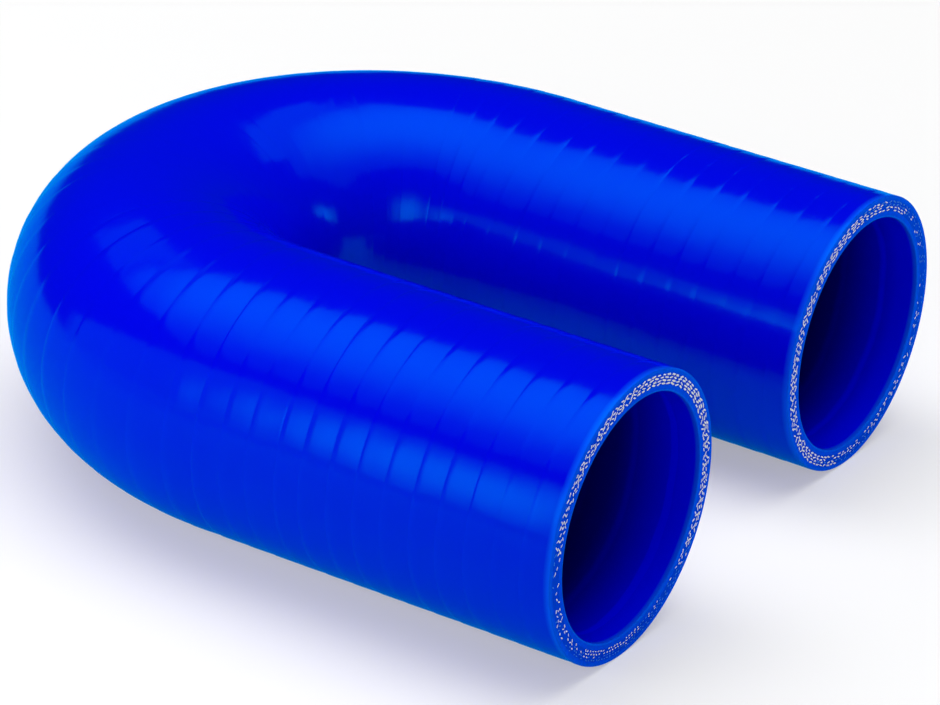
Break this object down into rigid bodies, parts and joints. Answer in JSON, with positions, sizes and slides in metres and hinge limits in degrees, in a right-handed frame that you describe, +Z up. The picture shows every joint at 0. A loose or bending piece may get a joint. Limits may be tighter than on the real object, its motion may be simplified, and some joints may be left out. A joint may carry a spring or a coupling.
{
  "type": "silicone hose elbow",
  "caption": "U-shaped reinforced silicone hose with a half-turn bend, two parallel straight legs of unlike length, square-cut ends and tape-wrap laps on its cover.",
  "frame": {"origin": "middle of the outer box, on the plane that the hose lies on", "axes": "+Z up, square to the plane of the bend; +Y from the cut ends towards the bend; +X from the longer leg to the shorter leg"},
  "size_m": [0.1836, 0.1908, 0.0676],
  "materials": {
    "silicone": "gloss",
    "ply_yarn": "matte"
  },
  "bodies": {
    "root": {"hose_elbow": "silicone"}
  },
  "joints": []
}
